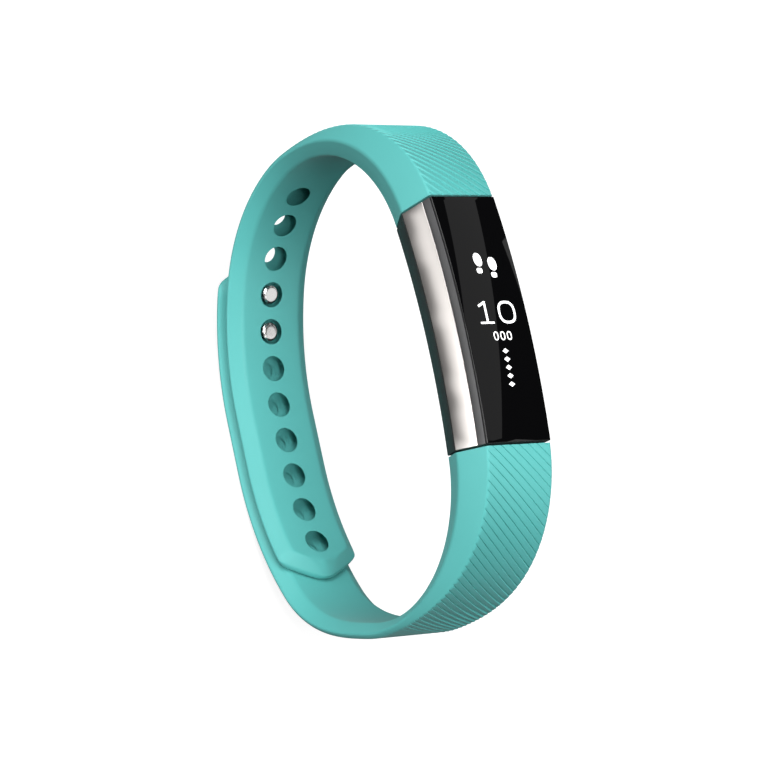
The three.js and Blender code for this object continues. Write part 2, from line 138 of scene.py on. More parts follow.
def smooth(value, start, end):
    """Nought up to a start, one from an end, and an even curve between them."""
    share = np.clip((value - start) / (end - start), 0, 1)
    return share * share * (3 - 2 * share)


def nose_half(from_tip):
    """Half the width of the strap's rounded point at a distance from its end."""
    ahead = np.maximum(from_tip, 0)
    return TIP_SLOPE * np.sqrt(ahead**2 + 2 * ahead * TIP_NOSE)


def nose_start(across):
    """How far from its end the rounded point reaches a half width."""
    return np.sqrt(TIP_NOSE**2 + (across / TIP_SLOPE) ** 2) - TIP_NOSE


def softly_least(first, second):
    """The lesser of two lengths, with the corner between them rounded."""
    return (first + second - np.sqrt((first - second) ** 2 + TIP_SOFTNESS**2)) / 2


def strap_corners(reach, from_tip):
    """The six corners of a strap's section, wrist, ridge and outer on each side, as arrays."""
    share = np.clip((reach - SEAM + SWELL_MARGIN) / SWELL_LENGTH, 0, 1)
    grown = (1 + np.cos(np.pi * share)) / 2
    ridge = STRAP_RIDGE + (ROOT_RIDGE - STRAP_RIDGE) * grown
    thick = STRAP_THICKNESS + (ROOT_THICKNESS - STRAP_THICKNESS) * grown
    face = (STRAP_FACE + (ROOT_FACE - STRAP_FACE) * grown) / 2
    nose = np.clip(TIP_ROUNDING - from_tip, 0, TIP_ROUNDING)
    inset = TIP_ROUNDING - np.sqrt(TIP_ROUNDING**2 - nose**2)
    half = nose_half(from_tip)
    flat_half = np.maximum(nose_half(from_tip - TIP_BEVEL), TIP_CROWN * half)
    across = softly_least(np.full_like(half, WRIST_FACE / 2), flat_half)
    rise = ridge * TIP_RISE * np.clip(1 - (from_tip - nose_start(across)) / TIP_BEVEL, 0, 1)
    wrist = np.stack([across, rise], -1)
    middle = np.stack([softly_least(np.full_like(half, RIDGE_WIDTH / 2), half), ridge], -1)
    outer = np.stack([softly_least(face, half) - inset / 2, thick - inset], -1)
    return [wrist, middle, outer]


# How far the three corners of half a section are rounded, and the points on each part of it.
CORNER_ROUNDING = [0.5, 0.5, 0.42]
MOST_ROUNDED = 0.47
WRIST_SHARE = 0.75
OUTER_SHARE = 0.85
WRIST_STEPS = 4
CORNER_STEPS = 6
FACE_STEPS = 6
OUTLINE_POINTS = WRIST_STEPS + 3 * CORNER_STEPS + FACE_STEPS
FIRST_OUTER_POINT = WRIST_STEPS + 2 * CORNER_STEPS


def strap_outline(reach, from_tip):
    """Half of a section, from the middle of the wrist face to the middle of the outer face."""
    wrist, middle, outer = strap_corners(reach, from_tip)
    crown_rise = middle[..., 1] * TIP_RISE * np.clip(1 - from_tip / TIP_BEVEL, 0, 1)
    inner_end = np.stack([np.zeros_like(crown_rise), crown_rise], -1)
    outer_end = outer * np.array([0.0, 1.0])
    chain = [inner_end, wrist, middle, outer, outer_end]
    wrist_shares = np.linspace(0, WRIST_SHARE, WRIST_STEPS)
    line = [inner_end + (wrist - inner_end) * share for share in wrist_shares]
    for corner, rounding in zip((1, 2, 3), CORNER_ROUNDING):
        here, before, after = chain[corner], chain[corner - 1], chain[corner + 1]
        ends = []
        for other in (before, after):
            length = np.maximum(np.linalg.norm(other - here, axis=-1, keepdims=True), 1e-6)
            ends.append(here + (other - here) * np.minimum(rounding / length, MOST_ROUNDED))
        for t in np.linspace(0, 1, CORNER_STEPS):
            line.append((1 - t) ** 2 * ends[0] + 2 * t * (1 - t) * here + t * t * ends[1])
    outer_shares = np.linspace(OUTER_SHARE, 0, FACE_STEPS)
    line += [outer_end + (outer - outer_end) * share for share in outer_shares]
    return line


# Where rows of points lie: at shares of each rib's pitch, evenly, and then at distances from the tip.
RIB_PHASES = (0, 0.05, 0.3, 0.55, 0.74, 0.8, 0.87, 0.95)
PLAIN_STEP = 0.6
TIP_ROWS_START = 6.2
TIP_ROWS = (
    6, 5.6, 5.2, 4.8, 4.4, 4, 3.7, 3.4, 3, 2.6, 2.2,
    1.9, 1.6, 1.2, 0.9, 0.7, 0.45, 0.33, 0.22, 0.13, 0.06, 0.02,
)


def strap_rows(tip):
    """How far along the strap its rows of points lie."""
    ribs = range(round((RIB_END - RIB_START) / RIB_PITCH))
    ribbed = [RIB_START + (rib + phase) * RIB_PITCH for rib in ribs for phase in RIB_PHASES]
    plain = np.arange(RIB_END, tip - TIP_ROWS_START, PLAIN_STEP)
    return np.concatenate([ribbed, plain, tip - np.array(TIP_ROWS)])


def slanted_column(rows, tip, slope, place, side):
    """A line of points along the strap, with the outer face's half width and its side's spread."""
    across = side * strap_outline(rows, tip - rows)[place][:, 0]
    for _ in range(3):
        reach = rows + slope * across
        point = strap_outline(reach, np.maximum(tip - reach, LEAST_FROM_TIP))[place]
        across = side * point[:, 0]
    reach = rows + slope * across
    _, middle, outer = strap_corners(reach, np.maximum(tip - reach, LEAST_FROM_TIP))
    spread = (middle[:, 0] - outer[:, 0]) / (middle[:, 1] - outer[:, 1])
    return np.stack([across, reach, point[:, 1]], 1), outer[:, 0], spread


def notch_direction(column, place):
    """Which way a rib presses a line of points: inwards, and outwards along the sloping sides."""
    points, outer_half, spread = column
    direction = np.zeros_like(points)
    if place >= FIRST_OUTER_POINT:
        weight = min(1.0, (place - FIRST_OUTER_POINT) / (CORNER_STEPS - 1))
        direction[:, 0] = -points[:, 0] / outer_half * spread * weight
        direction[:, 2] = -weight
    return direction


def tube_faces(levels, width):
    """The faces of a closed solid made of levels of rings, with its two ends."""
    faces = []
    for level in range(levels - 1):
        low, high = level * width, (level + 1) * width
        for i in range(width):
            j = (i + 1) % width
            faces.append((low + i, low + j, high + j, high + i))
    last = (levels - 1) * width
    return faces + [tuple(range(width - 1, -1, -1)), tuple(range(last, last + width))]


def put_in_scene(name, data):
    """An object for a mesh, a light or a camera."""
    thing = bpy.data.objects.new(name, data)
    bpy.context.collection.objects.link(thing)
    return thing


def flat_strap(name, tip, slant):
    """A closed strap, flat, with its rows slanted along the ribs and their numbers kept on it."""
    rows = strap_rows(tip)
    growth = RIB_SLANT_GROWTH * smooth(rows, *SLANT_GROWS)
    slope = slant * (RIB_SLANT + growth) * (1 - smooth(rows, *SLANT_FADES))
    ring = [(place, 1) for place in range(OUTLINE_POINTS)]
    ring += [(place, -1) for place in range(OUTLINE_POINTS - 2, 0, -1)]
    columns = [slanted_column(rows, tip, slope, place, side) for place, side in ring]
    notches = [notch_direction(column, place) for column, (place, side) in zip(columns, ring)]
    points = np.stack([column[0] for column in columns], 1)
    mesh = bpy.data.meshes.new(name)
    mesh.from_pydata(points.reshape(-1, 3).tolist(), [], tube_faces(len(rows), len(ring)))
    numbers = mesh.attributes.new("row", "FLOAT", "POINT")
    numbers.data.foreach_set("value", np.repeat(rows, len(ring)))
    directions = mesh.attributes.new("notch", "FLOAT_VECTOR", "POINT")
    directions.data.foreach_set("vector", np.stack(notches, 1).ravel())
    return put_in_scene(name, mesh)


def turned_cutter(name, profile, sides=48):
    """A closed round solid about the offset axis, from pairs of radius and offset."""
    ring = [(math.cos(2 * math.pi * i / sides), math.sin(2 * math.pi * i / sides)) for i in range(sides)]
    points = [(r * x, r * y, z) for r, z in profile for x, y in ring]
    mesh = bpy.data.meshes.new(name)
    mesh.from_pydata(points, [], tube_faces(len(profile), sides))
    return put_in_scene(name, mesh)


def rounded_lip(radius, rounding, offset, steps, opening):
    """Quarter-round points between a wall of a radius and a face at an offset."""
    points = []
    for step in range(steps + 1):
        angle = math.pi / 2 * step / steps
        short, long = 1 - math.sin(angle), 1 - math.cos(angle)
        if opening:
            points.append((radius + rounding * short, offset + rounding * long))
        else:
            points.append((radius - rounding * long, offset - rounding * short))
    return points


# The hole punch: a rounded lip at the wrist face, the counterbore, the hole and a flare at the end.
# A ring of points close to each rounded edge keeps the faces between them flat.
COUNTERBORE = 1.9
COUNTERBORE_DEPTH = 0.6
HOLE = 1.15
LIP = 0.13
LIP_START = 0.01
LIP_RING = 0.06
INNER_ROUNDING = 0.1
EDGE_RING = 0.16
FLARE = 0.14
PUNCH_START = -1.0
PUNCH_END = 3.4
hole_profile = [(COUNTERBORE + LIP, PUNCH_START)]
hole_profile += rounded_lip(COUNTERBORE, LIP, LIP_START, 4, True)
hole_profile += [(COUNTERBORE, LIP + LIP_RING), (COUNTERBORE, COUNTERBORE_DEPTH - EDGE_RING)]
hole_profile += rounded_lip(COUNTERBORE, INNER_ROUNDING, COUNTERBORE_DEPTH, 3, False)
hole_profile += [(COUNTERBORE - EDGE_RING, COUNTERBORE_DEPTH), (HOLE + EDGE_RING, COUNTERBORE_DEPTH)]
hole_profile += rounded_lip(HOLE, INNER_ROUNDING, COUNTERBORE_DEPTH, 3, True)
hole_profile += [(HOLE, COUNTERBORE_DEPTH + EDGE_RING), (HOLE, 2.2), (HOLE + 0.05, 2.32)]
hole_profile += [(HOLE + FLARE, STRAP_THICKNESS), (HOLE + FLARE, PUNCH_END)]


def add_node(tree, kind, inputs=None, **settings):
    """Adds a node with its settings, and sets or links its inputs, from a node's first output."""
    node = tree.nodes.new(kind)
    for key, value in settings.items():
        setattr(node, key, value)
    for key, value in (inputs or {}).items():
        if isinstance(value, bpy.types.Node):
            value = value.outputs[0]
        if isinstance(value, bpy.types.NodeSocket):
            tree.links.new(value, node.inputs[key])
        else:
            node.inputs[key].default_value = value
    return node


def linear(hex_colour):
    """An sRGB hex colour as linear red, green, blue and alpha."""
    values = [int(hex_colour[i:i + 2], 16) / 255 for i in (1, 3, 5)]
    return (*[v / 12.92 if v <= 0.04045 else ((v + 0.055) / 1.055) ** 2.4 for v in values], 1.0)


def new_material(name):
    """A material with an empty tree, its shader and its object coordinates."""
    material = bpy.data.materials.new(name)
    material.use_nodes = True
    tree = material.node_tree
    shader = tree.nodes["Principled BSDF"]
    place = add_node(tree, "ShaderNodeTexCoord").outputs["Object"]
    return material, tree, shader, place


def moulded_elastomer(name, colour, darker):
    """Fluoroelastomer from a fine-blasted mould: even colour, a soft broad gloss and a fine grain."""
    material, tree, shader, place = new_material(name)
    shader.inputs["Roughness"].default_value = 0.5
    shader.inputs["IOR"].default_value = 1.42
    shader.inputs["Sheen Weight"].default_value = 0.12
    shader.inputs["Sheen Roughness"].default_value = 0.5
    cloud = add_node(tree, "ShaderNodeTexNoise", {"Vector": place, "Scale": 0.12 / MM, "Detail": 3.0})
    tones = {"Factor": cloud, 6: linear(colour), 7: linear(darker)}
    tint = add_node(tree, "ShaderNodeMix", tones, data_type="RGBA")
    tree.links.new(tint.outputs[2], shader.inputs["Base Color"])
    # Nine grains to a millimetre, which is coarser than the mould leaves them, so that they show.
    grain = add_node(tree, "ShaderNodeTexNoise", {"Vector": place, "Scale": 9 / MM, "Detail": 2.0})
    bump = add_node(tree, "ShaderNodeBump", {"Height": grain, "Strength": 0.12, "Distance": 0.05 * MM})
    tree.links.new(bump.outputs["Normal"], shader.inputs["Normal"])
    return material


teal_elastomer = moulded_elastomer("teal_elastomer_moulded", "#5fc0bc", "#5abab6")

# The tree that presses the ribs into a flat strap and punches its row of holes.
strap_tree = bpy.data.node_groups.new("ribs_and_holes", "GeometryNodeTree")
for socket_name, socket_kind in (
    ("Strap", "NodeSocketGeometry"),
    ("Rib start", "NodeSocketFloat"),
    ("Rib end", "NodeSocketFloat"),
    ("Rib pitch", "NodeSocketFloat"),
    ("Rib depth", "NodeSocketFloat"),
    ("Hole cutter", "NodeSocketObject"),
    ("Hole count", "NodeSocketInt"),
    ("Hole pitch", "NodeSocketFloat"),
    ("First hole", "NodeSocketFloat"),
    ("Elastomer", "NodeSocketMaterial"),
):
    strap_tree.interface.new_socket(socket_name, in_out="INPUT", socket_type=socket_kind)
strap_tree.interface.new_socket("Strap", in_out="OUTPUT", socket_type="NodeSocketGeometry")
given = add_node(strap_tree, "NodeGroupInput").outputs
stored = "GeometryNodeInputNamedAttribute"
row = add_node(strap_tree, stored, {"Name": "row"}, data_type="FLOAT").outputs["Attribute"]
notch = add_node(strap_tree, stored, {"Name": "notch"}, data_type="FLOAT_VECTOR").outputs["Attribute"]

# How far a row lies through its own rib, and where the ribs start to fade.
FADE_LENGTH = 10.0
maths = "ShaderNodeMath"
from_start = add_node(strap_tree, maths, {0: row, 1: given["Rib start"]}, operation="SUBTRACT")
ribs_along = add_node(strap_tree, maths, {0: from_start, 1: given["Rib pitch"]}, operation="DIVIDE")
phase = add_node(strap_tree, maths, {0: ribs_along}, operation="FRACT")
fade_start = add_node(strap_tree, maths, {0: given["Rib end"], 1: FADE_LENGTH}, operation="SUBTRACT")

# A rib is a long scale face, a trench at its foot and a steep riser; the ribs grow and then fade.
# Each ramp has the value that it follows, where it starts and ends, and what it gives there.
ramps = {}
for ramp_name, value, start, end, low, high, curve in (
    ("scale face", phase, 0.0, 0.74, 0.0, 0.5, "LINEAR"),
    ("trench", phase, 0.74, 0.8, 0.0, 0.5, "LINEAR"),
    ("riser", phase, 0.87, 0.96, 1.0, 0.0, "LINEAR"),
    ("growing", row, 17.0, 27.0, 0.6, 1.0, "SMOOTHSTEP"),
    ("fading", row, fade_start, given["Rib end"], 1.0, 0.0, "SMOOTHSTEP"),
):
    sockets = {"Value": value, "From Min": start, "From Max": end, "To Min": low, "To Max": high}
    ramps[ramp_name] = add_node(strap_tree, "ShaderNodeMapRange", sockets, interpolation_type=curve)

slopes = add_node(strap_tree, maths, {0: ramps["scale face"], 1: ramps["trench"]}, operation="ADD")
tooth = add_node(strap_tree, maths, {0: slopes, 1: ramps["riser"]}, operation="MINIMUM")
full_depth = add_node(strap_tree, maths, {0: tooth, 1: given["Rib depth"]}, operation="MULTIPLY")
share_here = add_node(strap_tree, maths, {0: ramps["growing"], 1: ramps["fading"]}, operation="MULTIPLY")
depth = add_node(strap_tree, maths, {0: full_depth, 1: share_here}, operation="MULTIPLY")
press = add_node(strap_tree, "ShaderNodeVectorMath", {0: notch, "Scale": depth}, operation="SCALE")
ribbed = add_node(strap_tree, "GeometryNodeSetPosition", {"Geometry": given["Strap"], "Offset": press})

# A punch at each hole, taken out of the strap together.
first_place = add_node(strap_tree, "ShaderNodeCombineXYZ", {"Y": given["First hole"]})
next_place = add_node(strap_tree, "ShaderNodeCombineXYZ", {"Y": given["Hole pitch"]})
hole_line = {"Count": given["Hole count"], "Start Location": first_place, "Offset": next_place}
places = add_node(strap_tree, "GeometryNodeMeshLine", hole_line)
punch = add_node(strap_tree, "GeometryNodeObjectInfo", {"Object": given["Hole cutter"]})
each_punch = {"Points": places, "Instance": punch.outputs["Geometry"]}
punches = add_node(strap_tree, "GeometryNodeInstanceOnPoints", each_punch)
punches = add_node(strap_tree, "GeometryNodeRealizeInstances", {"Geometry": punches})
both = {"Mesh 1": ribbed, "Mesh 2": punches}
punched = add_node(strap_tree, "GeometryNodeMeshBoolean", both, operation="DIFFERENCE", solver="EXACT")
whole = add_node(strap_tree, "GeometryNodeRealizeInstances", {"Geometry": punched})
dressed = {"Geometry": whole, "Material": given["Elastomer"]}
finished = add_node(strap_tree, "GeometryNodeSetMaterial", dressed)
add_node(strap_tree, "NodeGroupOutput", {"Strap": finished})


def plain_mesh(maker):
    """What an object's modifiers make of it, as a mesh of its own; the object is then removed."""
    bpy.context.view_layer.update()
    depsgraph = bpy.context.evaluated_depsgraph_get()
    evaluated = maker.evaluated_get(depsgraph)
    mesh = bpy.data.meshes.new_from_object(evaluated, preserve_all_data_layers=True, depsgraph=depsgraph)
    bpy.data.objects.remove(maker)
    return mesh


def ribbed_and_punched(blank, cutter, count, pitch, first):
    """Runs the ribs and holes tree on a flat strap and returns its mesh."""
    modifier = blank.modifiers.new("ribs_and_holes", "NODES")
    modifier.node_group = strap_tree
    values = {
        "Rib start": RIB_START, "Rib end": RIB_END, "Rib pitch": RIB_PITCH, "Rib depth": RIB_DEPTH,
        "Hole cutter": cutter, "Hole count": count, "Hole pitch": pitch, "First hole": first,
        "Elastomer": teal_elastomer,
    }
    for item in strap_tree.interface.items_tree:
        if item.in_out == "INPUT" and item.name in values:
            modifier[item.identifier] = values[item.name]
    mesh = plain_mesh(blank)
    bpy.data.objects.remove(cutter)
    return mesh


def cut_square(mesh, seam):
    """Cuts a flat strap straight across at the seam, and closes the cut."""
    work = bmesh.new()
    work.from_mesh(mesh)
    everything = work.verts[:] + work.edges[:] + work.faces[:]
    cut = bmesh.ops.bisect_plane(
        work, geom=everything, plane_co=(0, seam, 0), plane_no=(0, -1, 0), clear_outer=True
    )
    edges = [item for item in cut["geom_cut"] if isinstance(item, bmesh.types.BMEdge)]
    bmesh.ops.contextual_create(work, geom=edges)
    work.to_mesh(mesh)
    work.free()


def bend_onto_loop(mesh, place):
    """Moves every point of a flat mesh to its place on the closed band, still in mm."""
    flat = np.zeros(len(mesh.vertices) * 3)
    mesh.vertices.foreach_get("co", flat)
    mesh.vertices.foreach_set("co", on_loop(place(flat.reshape(-1, 3))).ravel())
    mesh.update()


def mesh_from(work, name):
    """What was made in a bmesh, as a mesh; the bmesh is then freed."""
    mesh = bpy.data.meshes.new(name)
    work.to_mesh(mesh)
    work.free()
    return mesh


def block(name, low, high):
    """A closed box between two corners."""
    work = bmesh.new()
    bmesh.ops.create_cube(work, size=1.0)
    middle = (Vector(low) + Vector(high)) / 2
    size = Vector(high) - Vector(low)
    for vertex in work.verts:
        vertex.co = Vector(a * b for a, b in zip(vertex.co, size)) + middle
    return put_in_scene(name, mesh_from(work, name))


def carve(mesh, name, cutters):
    """Takes the cutters out of a mesh with exact booleans, and removes them."""
    body = put_in_scene(name, mesh)
    for cutter in cutters:
        cut = body.modifiers.new(cutter.name, "BOOLEAN")
        cut.object = cutter
        cut.operation = "DIFFERENCE"
        cut.solver = "EXACT"
    carved = plain_mesh(body)
    for cutter in cutters:
        bpy.data.objects.remove(cutter)
    return carved


def station_frame(station):
    """The place and turn of a station's own frame: Y along the band, Z outwards, in mm."""
    here, out = on_loop([(0, station, 0), (0, station, 1)])
    up = Vector(out - here)
    right = Vector((1, 0, 0))
    matrix = Matrix((right, up.cross(right), up)).transposed().to_4x4()
    matrix.translation = Vector(here)
    return matrix


# A latch's place past the seam, and the corners of its pocket across, along and out from there.
LATCH_FROM_SEAM = 3.4
POCKET_LOW = (-4.4, -6.8, -1.0)
POCKET_HIGH = (4.4, 3.0, 7.1)


def latch_pocket(name, side):
    """The space in a strap's root for its latch, square to the band where the latch sits."""
    pocket = block(name, POCKET_LOW, POCKET_HIGH)
    turn = Matrix.Identity(4) if side > 0 else Matrix.Rotation(math.pi, 4, "Z")
    pocket.data.transform(station_frame(side * (SEAM + LATCH_FROM_SEAM)) @ turn)
    return pocket


def shown_piece(name, mesh, sharp=38):
    """Makes a mesh a piece of the object, smooth apart from its real edges."""
    mesh.transform(Matrix.Scale(MM, 4))
    mesh.polygons.foreach_set("use_smooth", [True] * len(mesh.polygons))
    mesh.set_sharp_from_angle(angle=math.radians(sharp))
    mesh.update()
    shown = put_in_scene(name, mesh)
    return shown


upper_mesh = ribbed_and_punched(
    flat_strap("flat_perforated_strap", PERFORATED_END, -1.0),
    turned_cutter("hole_punch", hole_profile),
    HOLE_COUNT, HOLE_PITCH, FIRST_HOLE,
)
cut_square(upper_mesh, SEAM + SEAM_GAP)
bend_onto_loop(upper_mesh, lambda flat: flat)
upper_mesh = carve(upper_mesh, "perforated_strap_body", [latch_pocket("upper_pocket", 1)])
perforated_strap = shown_piece("strap_with_holes", upper_mesh)
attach(perforated_strap, "band")
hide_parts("perforated_strap")


# ---- Peg strap ---------------------------------------------------------------------------------
# The strap beyond the lower end of the tracker, moulded like the other one. It swings outside the
# perforated strap and ends in a blunt tip, with the clasp's pegs and their steel bar moulded in.

FIRST_PEG_HOLE = 3
PEG_TO_TIP = 4.3
PEG_STATIONS = [FIRST_HOLE + (FIRST_PEG_HOLE + number) * HOLE_PITCH for number in range(2)]
PEG_STRAP_END = PEG_STATIONS[0] - PEG_TO_TIP
PEG_STRAP_TIP = LOOP - PEG_STRAP_END

# The peg strap leaves the band's own line before it reaches the perforated strap's tip.
STACK_RUN = 20.0
STACK_MARGIN = 1.0
STACKED_FROM = LOOP - PERFORATED_END

BAR_STATION = sum(PEG_STATIONS) / 2
BAR_LENGTH = 11.6
BAR_WIDTH = 5.0
BAR_END_FLAT = 0.5
BAR_CORNER_STEPS = 6
BAR_ROWS = 25
BAR_FLOOR = STACK + 1.45
BAR_FLOOR_GAP = 0.1
STEM = 0.85
CLEARANCE = 0.12


def beside_the_loop(flat):
    """A flat peg strap's points, given by reach, as stations and offsets outside the other strap."""
    reach = flat[:, 1]
    out = STACK * smooth(reach, STACKED_FROM - STACK_RUN, STACKED_FROM - STACK_MARGIN)
    return np.stack([flat[:, 0], LOOP - reach, flat[:, 2] + out], 1)


def bar_outline(half_width, half_length):
    """The points round a flat bar with round ends."""
    corner = half_width - BAR_END_FLAT
    outline = []
    for centre_x, centre_y, start in ((1, -1, -90), (1, 1, 0), (-1, 1, 90), (-1, -1, 180)):
        for step in range(BAR_CORNER_STEPS + 1):
            angle = math.radians(start + 90 * step / BAR_CORNER_STEPS)
            x = centre_x * (half_width - corner) + corner * math.cos(angle)
            y = centre_y * (half_length - corner) + corner * math.sin(angle)
            outline.append((x, y))
    return outline


def cut_rows(work, half_length, rows):
    """Cuts a flat solid across in even rows, so that it can be bent."""
    for cut in np.linspace(-half_length, half_length, rows)[1:-1]:
        everything = work.verts[:] + work.edges[:] + work.faces[:]
        bmesh.ops.bisect_plane(work, geom=everything, plane_co=(0, float(cut), 0), plane_no=(0, 1, 0))


def rounded_bar(name, grow, low, high, bevel=0.0):
    """A flat bar along the band, grown all round, between two offsets, cut in rows to be bent."""
    half_width, half_length = BAR_WIDTH / 2 + grow, BAR_LENGTH / 2 + grow
    work = bmesh.new()
    lower = [work.verts.new((x, y, low)) for x, y in bar_outline(half_width, half_length)]
    face = work.faces.new(lower)
    raised = bmesh.ops.extrude_face_region(work, geom=[face])
    top = [item for item in raised["geom"] if isinstance(item, bmesh.types.BMVert)]
    bmesh.ops.translate(work, verts=top, vec=(0, 0, high - low))
    bmesh.ops.recalc_face_normals(work, faces=work.faces)
    if bevel:
        rims = [e for e in work.edges if abs(e.verts[0].co.z - e.verts[1].co.z) < 1e-6]
        bmesh.ops.bevel(work, geom=rims, offset=bevel, segments=3, profile=0.5, affect="EDGES")
    cut_rows(work, half_length, BAR_ROWS)
    return put_in_scene(name, mesh_from(work, name))


stem_profile = [(STEM + CLEARANCE, PUNCH_START), (STEM + CLEARANCE, PUNCH_END)]
lower_mesh = ribbed_and_punched(
    flat_strap("flat_peg_strap", PEG_STRAP_TIP, 1.0),
    turned_cutter("stem_punch", stem_profile, 32),
    len(PEG_STATIONS), HOLE_PITCH, LOOP - PEG_STATIONS[1],
)
bar_pocket = rounded_bar("bar_pocket", CLEARANCE, BAR_FLOOR - BAR_FLOOR_GAP - STACK, PUNCH_END)
bar_pocket.data.transform(Matrix.Translation((0, LOOP - BAR_STATION, 0)))
lower_mesh = carve(lower_mesh, "peg_strap_flat", [bar_pocket])
cut_square(lower_mesh, SEAM + SEAM_GAP)
bend_onto_loop(lower_mesh, beside_the_loop)
lower_mesh.flip_normals()
lower_mesh = carve(lower_mesh, "peg_strap_body", [latch_pocket("lower_pocket", -1)])
peg_strap = shown_piece("strap_with_pegs", lower_mesh)
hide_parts("peg_strap", "peg_strap_tail")
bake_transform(peg_strap)


# ---- Clasp bar and pegs ------------------------------------------------------------------------
# A stamped stainless bar lies in the outside of the peg strap's tip. Two turned and polished pegs
# are riveted through it; their flat heads snap through two holes of the other strap.

def polished_stainless(name, colour, roughness):
    """Turned and tumbled stainless steel: near mirror, with a faint haze of uneven gloss."""
    material, tree, shader, place = new_material(name)
    shader.inputs["Metallic"].default_value = 1.0
    shader.inputs["Base Color"].default_value = linear(colour)
    haze = add_node(tree, "ShaderNodeTexNoise", {"Vector": place, "Scale": 1.5 / MM, "Detail": 2.0})
    spread = {"Value": haze, "To Min": roughness * 0.8, "To Max": roughness * 1.3}
    gloss = add_node(tree, "ShaderNodeMapRange", spread)
    tree.links.new(gloss.outputs["Result"], shader.inputs["Roughness"])
    return material


polished_steel = polished_stainless("stainless_steel_polished", "#e4e3e1", 0.2)

BAR_TOP = BAR_FLOOR + 0.8
BAR_BEVEL = 0.12
bar = rounded_bar("clasp_bar_flat", 0.0, BAR_FLOOR, BAR_TOP, BAR_BEVEL)
bar_mesh = bar.data
bar_mesh.transform(Matrix.Translation((0, BAR_STATION, 0)))
bend_onto_loop(bar_mesh, lambda flat: flat)
bpy.data.objects.remove(bar)
bar_mesh.materials.append(polished_steel)
clasp_bar = shown_piece("clasp_bar_plate", bar_mesh)
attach(clasp_bar, "clasp_end")
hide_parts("clasp_bar")

# A peg as pairs of radius and offset: its flat head, sloping rim, underside, stem and riveted end.
PEG_PROFILE = [
    (0.0001, 0.06), (0.6, 0.06), (1.06, 0.064), (1.13, 0.08), (1.19, 0.11), (1.4, 0.22),
    (1.47, 0.27), (1.5, 0.34), (1.5, 0.46), (1.46, 0.52), (1.38, 0.55), (STEM + 0.05, 0.55),
    (STEM, 0.6), (STEM, BAR_TOP + 0.04), (STEM - 0.15, BAR_TOP + 0.12), (0.0001, BAR_TOP + 0.14),
]
for number, station in enumerate(PEG_STATIONS, 1):
    turning = turned_cutter(f"peg_turning_{number}", PEG_PROFILE, 64)
    peg_mesh = turning.data
    bpy.data.objects.remove(turning)
    peg_mesh.transform(station_frame(station))
    peg_mesh.materials.append(polished_steel)
    peg = shown_piece(f"peg_{number}", peg_mesh)
    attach(peg, "clasp_end")
    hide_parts(f"clasp_peg_{number}")


# ---- Tracker housing ---------------------------------------------------------------------------
# Moulded black base, formed steel side shell, black lens frame and curved glass, glued and snapped
# together in layers; thin black lines show where they meet.

def softened(name, node, edge, material, body):
    """A housing part with its edges rounded by a width in mm."""
    work = bmesh.new()
    work.from_mesh(nodes[node].data)
    bmesh.ops.remove_doubles(work, verts=work.verts, dist=2e-6)
    bmesh.ops.dissolve_limit(work, angle_limit=math.radians(0.3), verts=work.verts, edges=work.edges)
    mesh = mesh_from(work, name)
    mesh.materials.append(material)
    mesh.polygons.foreach_set("use_smooth", [True] * len(mesh.polygons))
    maker = put_in_scene(name + "_square", mesh)
    bevel = maker.modifiers.new("edge", "BEVEL")
    bevel.width = edge * MM
    bevel.segments = 3
    bevel.limit_method = "ANGLE"
    bevel.angle_limit = math.radians(25)
    bevel.harden_normals = True
    part = put_in_scene(name, plain_mesh(maker))
    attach(part, body)
    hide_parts(node)
    return part


def matt_plastic(name, colour, roughness, grain_mm=0.15, grain_strength=0.25):
    """Moulded ABS or nylon with a spark-eroded grain: an even dark colour and small soft glints."""
    material, tree, shader, place = new_material(name)
    shader.inputs["Base Color"].default_value = linear(colour)
    shader.inputs["IOR"].default_value = 1.5
    grain_size = grain_mm * MM
    grain = add_node(tree, "ShaderNodeTexNoise", {"Vector": place, "Scale": 1 / grain_size, "Detail": 3.0})
    spread = {"Value": grain, "To Min": roughness * 0.85, "To Max": roughness * 1.15}
    gloss = add_node(tree, "ShaderNodeMapRange", spread)
    tree.links.new(gloss.outputs["Result"], shader.inputs["Roughness"])
    relief = {"Height": grain, "Strength": grain_strength, "Distance": grain_size * 0.3}
    bump = add_node(tree, "ShaderNodeBump", relief)
    tree.links.new(bump.outputs["Normal"], shader.inputs["Normal"])
    return material


def brushed_stainless(name, colour, roughness):
    """Rolled steel brushed along the band: fine lines that spread each reflection sideways."""
    material, tree, shader, place = new_material(name)
    shader.inputs["Metallic"].default_value = 1.0
    shader.inputs["Base Color"].default_value = linear(colour)
    # Nine lines to a millimetre, each about eight millimetres long, coarser than real ones to show.
    brushing = {"Vector": place, "Scale": (9 / MM, 0.12 / MM, 9 / MM)}
    stretched = add_node(tree, "ShaderNodeMapping", brushing)
    lines = add_node(tree, "ShaderNodeTexNoise", {"Vector": stretched, "Scale": 1.0, "Detail": 2.0})
    spread = {"Value": lines, "To Min": roughness * 0.85, "To Max": roughness * 1.2}
    gloss = add_node(tree, "ShaderNodeMapRange", spread)
    tree.links.new(gloss.outputs["Result"], shader.inputs["Roughness"])
    bump = add_node(tree, "ShaderNodeBump", {"Height": lines, "Strength": 0.08, "Distance": 0.02 * MM})
    tree.links.new(bump.outputs["Normal"], shader.inputs["Normal"])
    return material


def black_glass(name):
    """Toughened glass printed black behind: a clean mirror-like surface over near black."""
    material, tree, shader, place = new_material(name)
    shader.inputs["Base Color"].default_value = linear("#060607")
    shader.inputs["IOR"].default_value = 1.5
    smear = add_node(tree, "ShaderNodeTexNoise", {"Vector": place, "Scale": 0.25 / MM, "Detail": 2.0})
    gloss = add_node(tree, "ShaderNodeMapRange", {"Value": smear, "To Min": 0.012, "To Max": 0.03})
    tree.links.new(gloss.outputs["Result"], shader.inputs["Roughness"])
    return material


